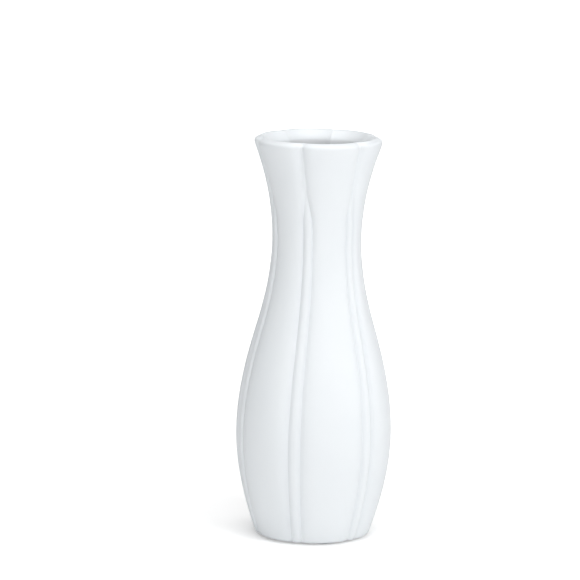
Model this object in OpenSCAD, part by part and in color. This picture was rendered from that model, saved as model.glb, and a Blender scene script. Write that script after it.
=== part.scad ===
// Ceramic bud vase: a six-lobed slip-cast shell on three thin foot pads.
// Millimetres, +Z up, origin on the axis at the table. A valley faces -Y.

/* [Overall] */
// Height from the table to the top of the lip
height = 152; // [126:1:190]
// Radius at the lobe crowns where the belly is widest
belly_r = 29.5; // [24:0.1:36]
// Height of the widest place above the table
belly_z = 39.2; // [30:0.1:50]

/* [Foot] */
// Radius at the lobe crowns at the foot
foot_r = 21.5; // [19:0.1:26]
// How fast the foot widens upwards
foot_flare = 0.36; // [0.2:0.01:0.6]
// Rounding of the foot's outer edge
foot_round = 1.3; // [0.5:0.1:2]
// Radius of the hollow under the foot
recess_r = 11.5; // [8:0.1:12.5]
// Depth of the hollow under the foot
recess_depth = 1.5; // [0.5:0.1:2.5]

/* [Neck and lip] */
// Height of the slope between belly and neck
shoulder_z = 79.5; // [66:0.5:94]
// Radius at the lobe crowns at that height
shoulder_r = 22.5; // [19:0.1:26]
// How fast the shoulder narrows upwards
shoulder_fall = 0.303; // [0.1:0.01:0.5]
// Radius at the lobe crowns at the neck, the narrowest place
neck_r = 16.8; // [14:0.1:21]
// Height of the neck above the table
neck_z = 112.6; // [100:0.1:120]
// Radius at the lobe crowns at the lip
lip_r = 25.2; // [20:0.1:31]
// How fast the mouth flares at the lip
lip_flare = 0.43; // [0.2:0.01:0.6]
// Rounding of the lip's outer edge
lip_round = 1.5; // [0.5:0.1:1.7]
// Rise of the lip's highest line above its outer edge
lip_rise = 0.5; // [0.1:0.1:1.2]
// Thickness of the lip behind the valleys
lip_t = 6.2; // [6.1:0.1:9]
// Width of the lip's slope down into the mouth
mouth_slope_w = 4.4; // [2:0.1:4.5]
// Fall of that slope
mouth_fall = 3; // [1:0.1:5]
// Softening of the edge where the slope meets the wall inside
mouth_round = 1.6; // [0.5:0.1:2.5]

/* [Lobes and ribs] */
// Valley depth as a share of the radius at the foot
foot_valley = 0.045; // [0.02:0.005:0.1]
// Valley depth as a share of the radius at the belly
belly_valley = 0.05; // [0.02:0.005:0.12]
// Valley depth as a share of the radius at the neck
neck_valley = 0.055; // [0.02:0.005:0.12]
// Valley depth as a share of the radius at the lip
lip_valley = 0.08; // [0.02:0.005:0.14]
// How full the lobes are: 1 is a flat flank, higher is rounder
lobe_fullness = 7; // [2:0.1:10]
// Turn of the lobes round the axis at the belly, in degrees
belly_turn = 0.5; // [-5:0.5:5]
// Turn of the lobes at the neck
neck_turn = 3.5; // [-5:0.5:5]
// Turn of the lobes at the lip
lip_turn = -1.5; // [-5:0.5:5]
// Height of a rib above the grooves beside it
rib_h = 1; // [0.3:0.1:1.5]
// Rib width at the foot
rib_foot_w = 3.8; // [2.5:0.1:4.8]
// Rib width at the belly
rib_belly_w = 4.7; // [3:0.1:5.7]
// Rib width at the neck
rib_neck_w = 3.4; // [2.4:0.1:4.1]
// Height of the ribs' pointed upper ends
rib_tip_z = 131.5; // [121:0.5:140]
// Length over which a rib narrows to its point
rib_taper = 10; // [6:0.5:20]

/* [Wall and cavity] */
// Wall thickness behind the valleys
wall = 5.2; // [3:0.1:6]
// Thickness of the floor inside the foot ring
floor_t = 5; // [3.5:0.1:8]
// Rounding of the cavity's bottom corner
cavity_round = 6; // [3:0.5:9]

/* [Foot pads] */
// Diameter of a pad
pad_d = 6; // [4:0.1:6.5]
// Thickness of a pad
pad_t = 0.6; // [0.4:0.1:1.5]
// Rounding of a pad's lower edge
pad_round = 0.2; // [0.1:0.05:0.3]

/* [Hidden] */
$fn = 96;
ceramic = [0.94, 0.95, 0.96];
silicone = [0.86, 0.88, 0.9];
// as many valleys and ribs as lobes, and a pad under every second lobe
lobes = 6;
sector = 360 / lobes;
half_sector = sector / 2;
// a valley faces -Y
first_valley = -90;
edge_steps = 3;
dome_steps = 2;
rib_steps = 2;
lobe_steps = 5;
// the points lie closer together towards the groove, by this power
flank_bias = 1.8;
// power of a rib's rounded cross-section
rib_fullness = 2.5;
wall_steps = 34;
cavity_steps = 30;
// the cavity and the hollow are cut this much past the faces they open
overcut = 1;
// the ribs' width never falls below this share of the neck width, to keep the mesh even
rib_min_share = 0.25;
top_edge_z = height - lip_rise - lip_round;
mouth_edge_z = height - mouth_fall;
mouth_r = valley_r(top_edge_z) - lip_t;
foot_edge_z = pad_t + foot_round;
floor_z = pad_t + recess_depth + floor_t;
// middle of the flat ring that the pads stick to, under a lobe crown
pad_ring_r = (recess_r + crown_r(foot_edge_z) - foot_round) / 2;

// Cubic curve through two values with two slopes, h apart, at share t
function cubic(t, h, a, slope_a, b, slope_b) =
    (2 * t^3 - 3 * t^2 + 1) * a + (t^3 - 2 * t^2 + t) * h * slope_a
    + (3 * t^2 - 2 * t^3) * b + (t^3 - t^2) * h * slope_b;

function span(z, z0, a, slope_a, z1, b, slope_b) =
    cubic((z - z0) / (z1 - z0), z1 - z0, a, slope_a, b, slope_b);

// Radius at a lobe crown at height z
function crown_r(z) =
    z < belly_z ? span(z, 0, foot_r, foot_flare, belly_z, belly_r, 0)
    : z < shoulder_z ? span(z, belly_z, belly_r, 0, shoulder_z, shoulder_r, -shoulder_fall)
    : z < neck_z ? span(z, shoulder_z, shoulder_r, -shoulder_fall, neck_z, neck_r, 0)
    : span(z, neck_z, neck_r, 0, height, lip_r, lip_flare);

// Valley depth at height z
function valley_depth(z) = crown_r(z) * lookup(z, [
    [0, foot_valley], [belly_z, belly_valley], [neck_z, neck_valley], [height, lip_valley]]);

function valley_r(z) = crown_r(z) - valley_depth(z);

// How far the lobes are turned round the axis at height z
function turn(z) =
    z < belly_z ? span(z, 0, 0, 0, belly_z, belly_turn, 0)
    : z < neck_z ? span(z, belly_z, belly_turn, 0, neck_z, neck_turn, 0)
    : span(z, neck_z, neck_turn, 0, height, lip_turn, 0);

// Radius of a lobe's flank, at share t of the way from the groove to the crown
function flank_r(t, z) = crown_r(z) - valley_depth(z) * pow(1 - t, lobe_fullness);

// 0 above a rib's point, rising to 1 where the rib has its full size
function rib_share(z) = sqrt(max(0, min(1, (rib_tip_z - z) / rib_taper)));

function rib_w(z) = max(rib_min_share * rib_neck_w, rib_share(z) * lookup(z, [
    [0, rib_foot_w], [belly_z, rib_belly_w], [neck_z, rib_neck_w]]));

// Angle from the middle of a rib to the groove beside it
function groove_a(z) = rib_w(z) / 2 / valley_r(z) * 180 / PI;

// Radius of the valley with its rib, at share s of the way from the middle to the groove
function rib_r(s, z) =
    valley_r(z) + rib_h * max(0, rib_share(z) * (2 - pow(s, rib_fullness)) - 1);

// One half of a sector from valley to crown: [angle, radius] pairs
function half_outline(z) = concat(
    [for (i = [0:rib_steps]) [groove_a(z) * i / rib_steps, rib_r(i / rib_steps, z)]],
    [for (i = [1:lobe_steps])
        let (t = pow(i / lobe_steps, flank_bias))
        [groove_a(z) + (half_sector - groove_a(z)) * t, flank_r(t, z)]]);

function sector_outline(z) = let (half = half_outline(z), n = len(half)) concat(
    half, [for (i = [n - 2:-1:1]) [sector - half[i][0], half[i][1]]]);

// A full ring of points: the outline at height z, moved in by inset and placed at height at
function ring(z, inset, at) = let (outline = sector_outline(z)) [
    for (k = [0:lobes - 1], p = outline)
    let (a = first_valley + k * sector + turn(z) + p[0], r = p[1] - inset)
    [r * cos(a), r * sin(a), at]];

// A ring of points on the domed lip, at share t of the way from its edge to its highest line
function dome_ring(t) = [
    for (k = [0:lobes - 1], p = sector_outline(top_edge_z))
    let (a = first_valley + k * sector + turn(top_edge_z) + p[0], edge = p[1] - lip_round,
        r = edge - (edge - mouth_r - mouth_slope_w) / 2 * t)
    [r * cos(a), r * sin(a), top_edge_z + lip_round + lip_rise * t * (2 - t)]];

// Rings up the wall: the rounded foot edge, the wall, the rounded lip edge, the domed lip
outer_rings = concat(
    [for (i = [0:edge_steps - 1]) let (t = 90 * i / edge_steps)
        ring(foot_edge_z, foot_round * (1 - sin(t)), foot_edge_z - foot_round * cos(t))],
    [for (i = [0:wall_steps])
        let (z = foot_edge_z + (top_edge_z - foot_edge_z) * i / wall_steps)
        ring(z, 0, z)],
    [for (i = [1:edge_steps]) let (t = 90 * i / edge_steps)
        ring(top_edge_z, lip_round * (1 - cos(t)), top_edge_z + lip_round * sin(t))],
    [for (i = [1:dome_steps]) dome_ring(i / dome_steps)]);

// Closed solid through a stack of rings, each with the same number of points
module skin(rings) {
    n = len(rings[0]);
    last = len(rings) - 1;
    sides = [for (j = [0:last - 1], i = [0:n - 1])
        let (k = (i + 1) % n, low = j * n, up = low + n)
        each [[low + i, up + i, up + k], [low + i, up + k, low + k]]];
    bottom = [for (i = [0:n - 1]) i];
    top = [for (i = [n - 1:-1:0]) last * n + i];
    polyhedron(points = [for (r = rings) each r], faces = concat([bottom], sides, [top]));
}

// The cavity follows the valleys, and above the neck the thick lip holds it to the mouth's radius
function cavity_r(z) = let (r = valley_r(z) - wall) z > neck_z ? min(mouth_r, r) : r;

// Point on the soft edge between the wall inside and the lip's slope, at share t
function mouth_bend(t) = let (up = mouth_round * t^2, down = mouth_round * (1 - t)^2)
    [mouth_r + up, mouth_edge_z - down + up * mouth_fall / mouth_slope_w];

// Half section of the hollow inside, from the floor to past the lip
module cavity() {
    corner_z = floor_z + cavity_round;
    corner_r = cavity_r(corner_z) - cavity_round;
    rotate_extrude()
        polygon(concat(
            [[0, floor_z]],
            [for (t = [0:15:75])
                [corner_r + cavity_round * sin(t), corner_z - cavity_round * cos(t)]],
            [for (i = [0:cavity_steps])
                let (z = corner_z + (mouth_edge_z - mouth_round - corner_z) * i / cavity_steps)
                [cavity_r(z), z]],
            [for (t = [0.25:0.25:1]) mouth_bend(t)],
            [[mouth_r + mouth_slope_w, height], [mouth_r + mouth_slope_w, height + overcut],
                [0, height + overcut]]));
}

// Slip-cast shell with six lobes, six ribs, a rounded lip and a foot ring
module vase_body() {
    color(ceramic)
        difference() {
            skin(outer_rings);
            cavity();
            translate([0, 0, pad_t - overcut])
                cylinder(r = recess_r, h = recess_depth + overcut);
        }
}

// Thin self-adhesive pad under the foot ring, below the crown of lobe k
module foot_pad(k) {
    r = pad_d / 2;
    color(silicone)
        rotate([0, 0, first_valley + sector * (k + 0.5)])
            translate([pad_ring_r, 0, 0])
                rotate_extrude()
                    polygon([[0, 0], [r - pad_round, 0], [r, pad_round], [r, pad_t], [0, pad_t]]);
}

module foot_pad_front() foot_pad(0);
module foot_pad_rear() foot_pad(2);
module foot_pad_left() foot_pad(4);

vase_body();
foot_pad_left();
foot_pad_front();
foot_pad_rear();
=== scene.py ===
import math

import bmesh
import bpy
from mathutils import Matrix, Vector


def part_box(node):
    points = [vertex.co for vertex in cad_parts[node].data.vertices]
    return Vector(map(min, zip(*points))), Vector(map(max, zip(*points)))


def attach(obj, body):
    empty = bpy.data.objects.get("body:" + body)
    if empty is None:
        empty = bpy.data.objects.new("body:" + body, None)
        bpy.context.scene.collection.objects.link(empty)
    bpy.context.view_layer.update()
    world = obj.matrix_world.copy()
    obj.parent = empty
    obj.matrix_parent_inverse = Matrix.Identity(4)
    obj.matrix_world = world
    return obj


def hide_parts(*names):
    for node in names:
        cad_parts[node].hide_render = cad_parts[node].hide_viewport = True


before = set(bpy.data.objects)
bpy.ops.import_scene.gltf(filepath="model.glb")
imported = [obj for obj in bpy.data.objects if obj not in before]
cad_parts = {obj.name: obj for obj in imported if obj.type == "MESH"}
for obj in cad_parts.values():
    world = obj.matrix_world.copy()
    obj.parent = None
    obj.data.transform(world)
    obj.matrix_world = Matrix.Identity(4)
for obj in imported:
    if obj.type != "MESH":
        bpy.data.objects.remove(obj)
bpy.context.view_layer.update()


# ---------------------------------------------------------------- vase body
# One slip-cast shell: a turned shape pressed into six lobes, with a thin raised rib in
# each valley and a broad lip that slopes down into the mouth. It is glazed satin white
# all over, apart from the flat of the foot ring, which is wiped bare for the kiln.

body_low, body_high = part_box("vase_body")
height = body_high.z
base_z = body_low.z
# heights above the table, radii, thicknesses and roundings are in metres, with the wall's
# radii at the lobes' crowns; a flare or a fall is the wall's slope at that height
belly_r = body_high.x
belly_z = 0.0392
foot_r = 0.0215
foot_flare = 0.36
foot_round = 0.0013
shoulder_z = 0.0795
shoulder_r = 0.0225
shoulder_fall = 0.303
neck_z = 0.1126
neck_r = 0.0168
lip_r = 0.0252
lip_flare = 0.43
lip_round = 0.0015
lip_rise = 0.0005
lip_t = 0.0062
mouth_slope_w = 0.0044
mouth_fall = 0.003
mouth_round = 0.0016
wall = 0.0052
recess_r = 0.0115
recess_depth = 0.0015
floor_t = 0.005
cavity_round = 0.006

lobes = 6
half_lobe = math.radians(30)
# valley depth as a share of the radius, at the foot, belly, neck and lip
valley_depths = [(0.0, 0.045), (belly_z, 0.05), (neck_z, 0.055), (height, 0.08)]
lobe_fullness = 7
# columns lie closer together towards the groove, by this power
flank_bias = 1.8
flank_steps = 6
rib_h = 0.001
rib_widths = [(0.0, 0.0038), (belly_z, 0.0047), (neck_z, 0.0034)]
rib_tip_z = 0.1315
rib_taper = 0.01
# power of a rib's rounded cross-section, and its least width as a share of that at the neck
rib_fullness = 2.5
rib_min_share = 0.25
# shares of the way from a rib's middle to its groove at which it has a column
rib_shares = [0.0, 0.45, 0.8, 1.0]
# how much painted shade each column's colour gets, most in the groove
column_groove_shades = [0.0, 0.0, 0.5, 1.0, 0.8, 0.35, 0.1, 0.0, 0.0, 0.0]
# the lip's inner edge follows the lobes by this much, fading out down the neck, and
# this share of it is outwards at the crowns
lip_echo = 0.0016
echo_outwards = 0.4
echo_fade = 0.025


def cubic(t, h, a, slope_a, b, slope_b):
    """Smooth curve from a to b over a distance h, with a slope at each end."""
    return ((2 * t**3 - 3 * t**2 + 1) * a + (t**3 - 2 * t**2 + t) * h * slope_a
            + (3 * t**2 - 2 * t**3) * b + (t**3 - t**2) * h * slope_b)


def along(spans, z):
    """Value at height z of a curve of spans: low end, value, slope, high end, value, slope."""
    for z0, a, slope_a, z1, b, slope_b in spans:
        if z <= z1:
            break
    return cubic((z - z0) / (z1 - z0), z1 - z0, a, slope_a, b, slope_b)


crown_spans = [
    (0.0, foot_r, foot_flare, belly_z, belly_r, 0.0),
    (belly_z, belly_r, 0.0, shoulder_z, shoulder_r, -shoulder_fall),
    (shoulder_z, shoulder_r, -shoulder_fall, neck_z, neck_r, 0.0),
    (neck_z, neck_r, 0.0, height, lip_r, lip_flare),
]
# the lobes wander a little round the axis on their way up, most at the neck
belly_turn = math.radians(0.5)
neck_turn = math.radians(3.5)
lip_turn = math.radians(-1.5)
turn_spans = [
    (0.0, 0.0, 0.0, belly_z, belly_turn, 0.0),
    (belly_z, belly_turn, 0.0, neck_z, neck_turn, 0.0),
    (neck_z, neck_turn, 0.0, height, lip_turn, 0.0),
]


def crown_radius(z):
    """Radius at a lobe's crown."""
    return along(crown_spans, z)


def between(z, stations):
    """Straight line between the stations either side of z."""
    for (z0, a), (z1, b) in zip(stations, stations[1:]):
        if z <= z1:
            return a + (b - a) * (z - z0) / (z1 - z0)
    return stations[-1][1]


def valley_radius(z):
    """Radius at the bottom of a valley."""
    return crown_radius(z) * (1 - between(z, valley_depths))


top_edge_z = height - lip_rise - lip_round
mouth_r = valley_radius(top_edge_z) - lip_t


def cavity_radius(z):
    """Radius inside, which the thick lip holds to the mouth's radius above the neck."""
    radius = valley_radius(z) - wall
    return min(mouth_r, radius) if z > neck_z else radius


def levels(low, high, steps):
    """Evenly spaced heights from low up to, but not including, high."""
    return [low + (high - low) * i / steps for i in range(steps)]


# the half section, from the middle of the underside to the middle of the floor inside,
# with the hollow's corner and rim softened by a few tenths of a millimetre
recess_z = base_z + recess_depth
foot_edge_z = base_z + foot_round
foot_flat_r = crown_radius(foot_edge_z) - foot_round
under = [(0.0, recess_z), (recess_r * 0.6, recess_z), (recess_r - 0.0003, recess_z - 0.0001),
         (recess_r, recess_z - 0.0004), (recess_r + 0.0001, base_z + 0.0004),
         (recess_r + 0.0005, base_z)]
outside = [(foot_flat_r + foot_round * math.sin(t), foot_edge_z - foot_round * math.cos(t))
           for t in (0, math.pi / 4, math.pi / 2)]
# rows lie closer together round the ribs' pointed upper ends
close_low_z, close_high_z = neck_z - 0.004, rib_tip_z + 0.003
outside += [(crown_radius(z), z) for z in
            levels(foot_edge_z, close_low_z, 18)[1:]
            + levels(close_low_z, close_high_z, 10)
            + levels(close_high_z, top_edge_z, 3)]
lip_edge_r = crown_radius(top_edge_z)
outside += [(lip_edge_r - lip_round * (1 - math.cos(t)), top_edge_z + lip_round * math.sin(t))
            for t in (0, math.pi / 4, math.pi / 2)]
dome_edge_r = lip_edge_r - lip_round
mouth_outer_r = mouth_r + mouth_slope_w
crest_r = (dome_edge_r + mouth_outer_r) / 2
outside += [((dome_edge_r + crest_r) / 2, height - lip_rise / 4), (crest_r, height)]
mouth_edge_z = height - mouth_fall
floor_z = recess_z + floor_t
corner_z = floor_z + cavity_round
corner_r = cavity_radius(corner_z) - cavity_round
# the slope into the mouth and its rounded inner edge, then the cavity
inside = [(mouth_outer_r - 0.0004, height - 0.00015),
          ((mouth_outer_r + mouth_r) / 2 + 0.0003, height - mouth_fall * 0.43),
          (mouth_r + mouth_round, mouth_edge_z + mouth_round * mouth_fall / mouth_slope_w),
          (mouth_r + mouth_round * 0.25, mouth_edge_z - mouth_round * 0.1),
          (mouth_r, mouth_edge_z - mouth_round)]
inside += [(cavity_radius(z), z)
           for z in reversed(levels(corner_z, mouth_edge_z - mouth_round - 0.002, 8))]
inside += [(corner_r + cavity_round * math.cos(t), corner_z - cavity_round * math.sin(t))
           for t in (math.pi / 4, math.pi / 2)]
inside += [(0.0, floor_z)]
section = under + outside + inside

# one vertex is drawn out along the half section, in the plane of the front valley
bpy.ops.object.select_all(action="DESELECT")
bpy.ops.mesh.primitive_plane_add(size=0.001, location=(0, 0, recess_z))
body = bpy.context.object
body.name = body.data.name = "vase_shell"
bpy.ops.object.transform_apply(location=True)
bpy.ops.object.mode_set(mode="EDIT")
bpy.ops.mesh.select_mode(type="VERT")
bpy.ops.mesh.merge(type="CENTER")
for (r0, z0), (r1, z1) in zip(section, section[1:]):
    bpy.ops.mesh.extrude_vertices_move(
        TRANSFORM_OT_translate={"value": (0, r0 - r1, z1 - z0)})

# each vertex keeps the number of its row and, after the spin, of its column
mesh = bmesh.from_edit_mesh(body.data)
for name in ("row", "column"):
    mesh.verts.layers.int.new(name)
# masks of painted shade, in the grooves and inside the mouth
for name in ("groove_shade", "inside_shade"):
    mesh.verts.layers.float.new(name)
row = mesh.verts.layers.int["row"]
for i, vert in enumerate(mesh.verts):
    vert[row] = i
bmesh.update_edit_mesh(body.data)

# spun through half a lobe, from the valley to the crown
columns = len(rib_shares) - 1 + flank_steps
bpy.ops.mesh.select_all(action="SELECT")
bpy.ops.mesh.spin(steps=columns, angle=half_lobe, center=(0, 0, 0), axis=(0, 0, 1))
bpy.ops.mesh.select_all(action="SELECT")
bpy.ops.mesh.remove_doubles(threshold=1e-6)
mesh = bmesh.from_edit_mesh(body.data)
row, column = mesh.verts.layers.int["row"], mesh.verts.layers.int["column"]
for vert in mesh.verts:
    turned = -math.pi / 2 - math.atan2(vert.co.y, vert.co.x)
    vert[column] = round(turned / half_lobe * columns) if vert.co.xy.length > 1e-6 else 0
bmesh.update_edit_mesh(body.data)


def pick(test):
    """Select the shell's vertices that pass the test, and nothing else."""
    shape = bmesh.from_edit_mesh(body.data)
    for vert in shape.verts:
        vert.select = test(vert)
    shape.select_flush_mode()
    bmesh.update_edit_mesh(body.data)


def turn(angle):
    """Turn the selection about the vase's axis, away from the valley for a positive angle."""
    bpy.ops.transform.rotate(value=angle, orient_axis="Z", center_override=(0, 0, 0))


def draw_in(factor, z):
    """Move the selection towards the axis, or away from it for a factor over 1."""
    bpy.ops.transform.resize(value=(factor, factor, 1), center_override=(0, 0, z))


def outline(z):
    """Angle from the valley and radius of each column at height z, rib included."""
    share = math.sqrt(max(0.0, min(1.0, (rib_tip_z - z) / rib_taper)))
    width = max(rib_widths[-1][1] * rib_min_share, share * between(z, rib_widths))
    groove = width / 2 / valley_radius(z)
    points = []
    for across in rib_shares:
        rise = rib_h * max(0.0, share * (2 - across**rib_fullness) - 1)
        points.append((groove * across, valley_radius(z) + rise))
    for i in range(1, flank_steps + 1):
        up_flank = (i / flank_steps) ** flank_bias
        depth = between(z, valley_depths) * (1 - up_flank) ** lobe_fullness
        points.append((groove + (half_lobe - groove) * up_flank, crown_radius(z) * (1 - depth)))
    return points


def outer_radius(r, level, radius):
    """Radius of a column, from its row's radius in the half section and its own at the level."""
    if r < dome_edge_r and level == top_edge_z:
        share = (dome_edge_r - r) / (dome_edge_r - mouth_outer_r)
        return radius - lip_round - share * (radius - lip_round - mouth_outer_r)
    return r - crown_radius(level) + radius


# the wall's rows are pressed in to the lobed outline, and the others keep its spacing
first_wall, last_wall = len(under), len(under) + len(outside) - 1
even = half_lobe / columns
for i, (r, z) in enumerate(section):
    if r == 0:
        continue
    level = min(max(z, foot_edge_z), top_edge_z)
    if i < first_wall:
        level = foot_edge_z
    echo = lip_echo * max(0.0, 1 - (height - z) / echo_fade)
    for j, (angle, radius) in enumerate(outline(level)):
        pick(lambda vert: vert[row] == i and vert[column] == j)
        turn(angle - even * j)
        if first_wall <= i <= last_wall:
            draw_in(outer_radius(r, level, radius) / r, z)
        elif i > last_wall:
            draw_in((r + echo * (echo_outwards - (1 - angle / half_lobe) ** 2)) / r, z)

# painted shade in the grooves, between the foot's rounding and the ribs' ends, and painted shade
# inside, below the slope into the mouth
foot_rows, lip_rows, mouth_rows = 3, 5, 5
first_groove_shade_row, last_groove_shade_row = first_wall + foot_rows, last_wall - lip_rows
first_inside_shade_row = last_wall + mouth_rows
mesh = bmesh.from_edit_mesh(body.data)
row, column = mesh.verts.layers.int["row"], mesh.verts.layers.int["column"]
groove_shade, inside_shade = mesh.verts.layers.float["groove_shade"], mesh.verts.layers.float["inside_shade"]
for vert in mesh.verts:
    if first_groove_shade_row <= vert[row] <= last_groove_shade_row:
        rib_here = min(1.0, max(0.0, rib_tip_z - vert.co.z) / rib_taper)
        vert[groove_shade] = column_groove_shades[vert[column]] * rib_here
    if vert[row] >= first_inside_shade_row:
        vert[inside_shade] = 1.0
bmesh.update_edit_mesh(body.data)
bpy.ops.object.mode_set(mode="OBJECT")

# the other half of the lobe, then five more valleys round the axis
mirror = body.modifiers.new("other_half", "MIRROR")
mirror.merge_threshold = 1e-6
bpy.ops.object.modifier_apply(modifier=mirror.name)
bpy.ops.object.mode_set(mode="EDIT")
bpy.ops.mesh.select_all(action="SELECT")
bpy.ops.mesh.spin(steps=lobes - 1, angle=2 * math.pi * (lobes - 1) / lobes, dupli=True,
                  center=(0, 0, 0), axis=(0, 0, 1))
bpy.ops.mesh.select_all(action="SELECT")
bpy.ops.mesh.remove_doubles(threshold=2e-6)
bpy.ops.mesh.normals_make_consistent(inside=False)
row = bmesh.from_edit_mesh(body.data).verts.layers.int["row"]
for i, (r, z) in enumerate(section):
    pick(lambda vert: vert[row] == i)
    turn(-along(turn_spans, z))
bpy.ops.object.mode_set(mode="OBJECT")
for name in ("row", "column"):
    body.data.attributes.remove(body.data.attributes[name])
smooth = body.modifiers.new("smooth", "SUBSURF")
smooth.levels = smooth.render_levels = 2
bpy.ops.object.modifier_apply(modifier=smooth.name)
bpy.ops.object.shade_smooth()

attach(body, "root")
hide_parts("vase_body")


def new_material(name):
    """Material with its node tree, its links and its Principled BSDF."""
    material = bpy.data.materials.new(name)
    material.use_nodes = True
    tree = material.node_tree
    return material, tree.nodes, tree.links, tree.nodes["Principled BSDF"]


def node(nodes, kind, **sockets):
    """Node of a kind, with constants on its named sockets."""
    made = nodes.new(kind)
    for name, value in sockets.items():
        made.inputs[name.replace("_", " ")].default_value = value
    return made


def blend(nodes, links, share, low, high):
    """Colour between low and high, each a colour or a socket, by a share socket."""
    mix = nodes.new("ShaderNodeMix")
    mix.data_type = "RGBA"
    links.new(share, mix.inputs["Factor"])
    for socket, colour in ((mix.inputs[6], low), (mix.inputs[7], high)):
        if isinstance(colour, tuple):
            socket.default_value = (*colour, 1)
        else:
            links.new(colour, socket)
    return mix.outputs[2]


def spread(nodes, links, value, low, high):
    """Value between 0 and 1 spread from low to high."""
    spread_map = node(nodes, "ShaderNodeMapRange", To_Min=low, To_Max=high)
    links.new(value, spread_map.inputs["Value"])
    return spread_map.outputs["Result"]


def multiply(nodes, links, value, factor):
    """Product of a socket and a number, or of two sockets."""
    product = nodes.new("ShaderNodeMath")
    product.operation = "MULTIPLY"
    links.new(value, product.inputs[0])
    if isinstance(factor, float):
        product.inputs[1].default_value = factor
    else:
        links.new(factor, product.inputs[1])
    return product.outputs[0]


def mask(nodes, name):
    """The mesh's own mask of that name."""
    attribute = nodes.new("ShaderNodeAttribute")
    attribute.attribute_name = name
    return attribute.outputs["Fac"]


# what every surface here has: a slow drift, a fine grain and the relief of both, whose
# depths are in metres; each noise's middle values are stretched to the whole range
noise_low, noise_high = 0.3, 0.7
drift_relief, grain_relief = 0.0002, 0.00004
surface_group = bpy.data.node_groups.new("uneven_surface", "ShaderNodeTree")
for name in ("Drift Scale", "Grain Scale", "Relief"):
    surface_group.interface.new_socket(name, in_out="INPUT", socket_type="NodeSocketFloat")
for name, kind in (("Drift", "Float"), ("Grain", "Float"), ("Normal", "Vector")):
    surface_group.interface.new_socket(name, in_out="OUTPUT", socket_type="NodeSocket" + kind)
nodes, links = surface_group.nodes, surface_group.links
group_in, group_out = nodes.new("NodeGroupInput"), nodes.new("NodeGroupOutput")
place = nodes.new("ShaderNodeTexCoord")
drift = node(nodes, "ShaderNodeTexNoise", Detail=2.0, Roughness=0.4)
grain = node(nodes, "ShaderNodeTexNoise", Detail=4.0, Roughness=0.6)
for noise, scale in ((drift, "Drift Scale"), (grain, "Grain Scale")):
    links.new(place.outputs["Object"], noise.inputs["Vector"])
    links.new(group_in.outputs[scale], noise.inputs["Scale"])
    contrast = node(nodes, "ShaderNodeMapRange", From_Min=noise_low, From_Max=noise_high)
    links.new(noise.outputs["Fac"], contrast.inputs["Value"])
    links.new(contrast.outputs["Result"], group_out.inputs[scale.split()[0]])
slow_relief = node(nodes, "ShaderNodeBump", Distance=drift_relief)
fine_relief = node(nodes, "ShaderNodeBump", Distance=grain_relief)
links.new(group_in.outputs["Relief"], slow_relief.inputs["Strength"])
links.new(group_in.outputs["Relief"], fine_relief.inputs["Strength"])
links.new(drift.outputs["Fac"], slow_relief.inputs["Height"])
links.new(grain.outputs["Fac"], fine_relief.inputs["Height"])
links.new(slow_relief.outputs["Normal"], fine_relief.inputs["Normal"])
links.new(fine_relief.outputs["Normal"], group_out.inputs["Normal"])


def uneven(nodes, drift_scale, grain_scale, relief):
    """Uneven surface with its own scales, in features per metre, and strength of relief."""
    made = nodes.new("ShaderNodeGroup")
    made.node_tree = surface_group
    made.inputs["Drift Scale"].default_value = drift_scale
    made.inputs["Grain Scale"].default_value = grain_scale
    made.inputs["Relief"].default_value = relief
    return made.outputs


# glaze: painted shade, a cooler and greyer white, in the grooves, and painted shade, a dark
# grey, inside below the mouth's slope
white_low, white_high = (0.770, 0.802, 0.826), (0.782, 0.812, 0.833)
groove_shade_white = (0.68, 0.71, 0.74)
inside_shade_grey = (0.50, 0.505, 0.52)
groove_shade_strength = 0.35
glaze, nodes, links, shader = new_material("satin_white_glaze")
surface = uneven(nodes, 60, 1400, 0.25)
white = blend(nodes, links, surface["Drift"], white_low, white_high)
# painted shade: the grooves' white drawn towards a cooler grey
groove_shade_share = multiply(nodes, links, mask(nodes, "groove_shade"), groove_shade_strength)
white = blend(nodes, links, groove_shade_share, white, groove_shade_white)
# painted shade inside the mouth
links.new(blend(nodes, links, mask(nodes, "inside_shade"), white, inside_shade_grey),
          shader.inputs["Base Color"])
links.new(spread(nodes, links, surface["Grain"], 0.46, 0.54), shader.inputs["Roughness"])
links.new(surface["Normal"], shader.inputs["Normal"])
body.data.materials.append(glaze)

# bare fired clay on the flat of the foot ring, the lowest faces
flat_depth = 0.00003
clay_dark, clay_pale = (0.66, 0.62, 0.56), (0.76, 0.73, 0.68)
clay, nodes, links, shader = new_material("bare_fired_clay")
surface = uneven(nodes, 150, 3500, 0.9)
links.new(blend(nodes, links, surface["Grain"], clay_dark, clay_pale),
          shader.inputs["Base Color"])
links.new(spread(nodes, links, surface["Drift"], 0.8, 0.95), shader.inputs["Roughness"])
links.new(surface["Normal"], shader.inputs["Normal"])
body.data.materials.append(clay)
for face in body.data.polygons:
    if face.center.z < base_z + flat_depth:
        face.material_index = 1


# ---------------------------------------------------------------- foot pads
# Three thin self-adhesive discs of milky silicone under the foot ring, which lift the
# vase by the hairline of shadow under it. Each is modelled the same way, with a softened
# lower edge and a face that is dished a little, as a moulded pad's is.

silicone_low, silicone_high = (0.74, 0.76, 0.78), (0.80, 0.82, 0.83)
silicone, nodes, links, shader = new_material("milky_silicone")
surface = uneven(nodes, 300, 5000, 0.5)
links.new(blend(nodes, links, surface["Drift"], silicone_low, silicone_high),
          shader.inputs["Base Color"])
links.new(spread(nodes, links, surface["Grain"], 0.4, 0.55), shader.inputs["Roughness"])
links.new(surface["Normal"], shader.inputs["Normal"])
shader.inputs["Transmission Weight"].default_value = 0.35
shader.inputs["IOR"].default_value = 1.41

pad_sides = 96
pad_edge = 0.0002
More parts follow.
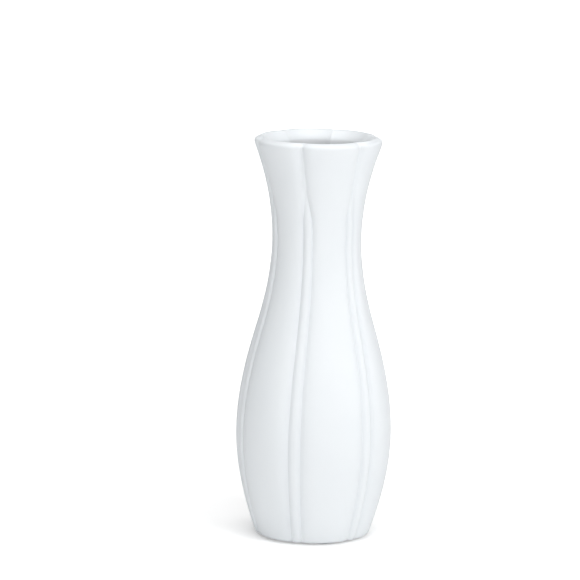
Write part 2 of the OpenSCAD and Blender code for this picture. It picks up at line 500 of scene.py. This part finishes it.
# the dish's slope starts at one inset from the edge and ends at the next
pad_insets = (0.25, 0.2)
pad_dish = 0.00008
# z of the normal of a face that points straight down, and a little more
straight_down = -0.999


def pick_underside(obj):
    """Select the flat many-sided face underneath."""
    shape = bmesh.from_edit_mesh(obj.data)
    for face in shape.faces:
        face.select = face.normal.z < straight_down and len(face.verts) > 4
    bmesh.update_edit_mesh(obj.data)


for name in ("foot_pad_left", "foot_pad_front", "foot_pad_rear"):
    pad_low, pad_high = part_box(name)
    pad_r = (pad_high.x - pad_low.x) / 2
    middle = (pad_low + pad_high) / 2
    bpy.ops.object.select_all(action="DESELECT")
    bpy.ops.mesh.primitive_cylinder_add(vertices=pad_sides, radius=pad_r,
                                        depth=pad_high.z - pad_low.z, location=middle)
    pad = bpy.context.object
    pad.name = pad.data.name = name + "_disc"
    bpy.ops.object.transform_apply(location=True)
    bpy.ops.object.mode_set(mode="EDIT")
    bpy.ops.mesh.select_mode(type="FACE")
    pick_underside(pad)
    bpy.ops.mesh.bevel(offset=pad_edge, segments=4)
    pick_underside(pad)
    for share in pad_insets:
        bpy.ops.mesh.inset(thickness=pad_r * share)
    bpy.ops.transform.translate(value=(0, 0, pad_dish))
    bpy.ops.mesh.select_all(action="SELECT")
    bpy.ops.mesh.normals_make_consistent(inside=False)
    bpy.ops.object.mode_set(mode="OBJECT")
    bpy.ops.object.shade_smooth_by_angle(angle=math.radians(35))
    pad.data.materials.append(silicone)
    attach(pad, "root")
    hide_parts(name)


# ------------------------------------------------------------------- studio
# A sheet of white paper that runs out of sight, with painted light: a glow that only the camera
# sees, brighter with its distance from the vase, so that only the shadow by the foot shows.

paper_size = 8
paper_low, paper_high = (0.89, 0.89, 0.89), (0.91, 0.91, 0.91)
bpy.ops.object.select_all(action="DESELECT")
bpy.ops.mesh.primitive_plane_add(size=paper_size, location=(0, 0, 0))
floor = bpy.context.object
floor.name = "studio_floor"
paper, nodes, links, shader = new_material("white_paper")
surface = uneven(nodes, 8, 900, 0.1)
links.new(blend(nodes, links, surface["Drift"], paper_low, paper_high),
          shader.inputs["Base Color"])
links.new(spread(nodes, links, surface["Grain"], 0.85, 0.95), shader.inputs["Roughness"])
links.new(surface["Normal"], shader.inputs["Normal"])
shader.inputs["Emission Color"].default_value = (1, 1, 1, 1)

# the painted glow, seen by the camera only, rises from its near to its far strength over these
# distances from the vase
near, far = 0.05, 0.7
near_painted_glow, far_painted_glow = 0.29, 0.95
place = nodes.new("ShaderNodeTexCoord")
distance = nodes.new("ShaderNodeVectorMath")
distance.operation = "LENGTH"
links.new(place.outputs["Object"], distance.inputs[0])
painted_glow = node(nodes, "ShaderNodeMapRange",
            From_Min=near, From_Max=far, To_Min=near_painted_glow, To_Max=far_painted_glow)
links.new(distance.outputs["Value"], painted_glow.inputs["Value"])
# painted light: the paper glows for camera rays only
seen = nodes.new("ShaderNodeLightPath")
camera_painted_glow = multiply(nodes, links, painted_glow.outputs["Result"], seen.outputs["Is Camera Ray"])
links.new(camera_painted_glow, shader.inputs["Emission Strength"])
floor.data.materials.append(paper)

# a little light from all round, so that no side of the vase is black
world_strength = 0.05
world = bpy.data.worlds.new("studio")
bpy.context.scene.world = world
world.use_nodes = True
world.node_tree.nodes["Background"].inputs["Color"].default_value = (1, 1, 1, 1)
world.node_tree.nodes["Background"].inputs["Strength"].default_value = world_strength
bpy.context.scene.view_settings.view_transform = "Standard"

# the camera stands this far round to the right of the front valley, and the lights'
# places are to the side and in front as the camera sees them
camera_azimuth = math.radians(15)
light_aim = Vector((0, 0, 0.08))
across = Vector((math.cos(camera_azimuth), math.sin(camera_azimuth), 0))
towards = Vector((math.sin(camera_azimuth), -math.cos(camera_azimuth), 0))


def softbox(name, side, front, z, width, tall, power):
    """Area light to the right of the vase by side and in front by front, aimed at the vase."""
    data = bpy.data.lights.new(name, "AREA")
    data.shape = "RECTANGLE"
    data.size, data.size_y = width, tall
    data.energy = power
    box = bpy.data.objects.new(name, data)
    bpy.context.scene.collection.objects.link(box)
    box.location = across * side + towards * front + Vector((0, 0, z))
    box.rotation_euler = (light_aim - box.location).to_track_quat("-Z", "Y").to_euler()


# each light's name, its side, front, z, width and tall in metres, and its power in watts
softbox("front", 0.0, 1.6, 0.45, 1.6, 0.6, 4.0)
softbox("front_left", -1.1, 1.2, 0.3, 1.2, 0.5, 5.3)
softbox("right_side", 1.7, 0.0, 0.25, 1.2, 0.45, 7.3)
softbox("key", 0.9, 0.9, 0.9, 0.8, 0.8, 8.0)
softbox("front_high", 0.0, 1.2, 1.0, 0.8, 0.8, 3.2)
softbox("left_side", -1.6, 0.2, 0.5, 1.2, 0.8, 1.7)
softbox("overhead", 0.0, 0.0, 1.4, 1.0, 1.0, 12.5)
softbox("back", 0.0, -1.7, 0.25, 1.6, 0.45, 4.2)

# a long lens from a little above, tilted slightly, with the vase right of the middle
lens_mm = 218
camera_distance = 1.3
camera_height = 0.3297
aim_height = 0.0934
aim_left = 0.00975
camera_tilt = math.radians(0.934)
camera_data = bpy.data.cameras.new("camera")
camera_data.sensor_width = 36
camera_data.lens = lens_mm
camera = bpy.data.objects.new("camera", camera_data)
bpy.context.scene.collection.objects.link(camera)
bpy.context.scene.camera = camera
camera.location = towards * camera_distance + Vector((0, 0, camera_height))
aim = Vector((0, 0, aim_height)) - across * aim_left - camera.location
tilt = Matrix.Rotation(camera_tilt, 3, "Z")
camera.rotation_euler = (aim.to_track_quat("-Z", "Y").to_matrix() @ tilt).to_euler()
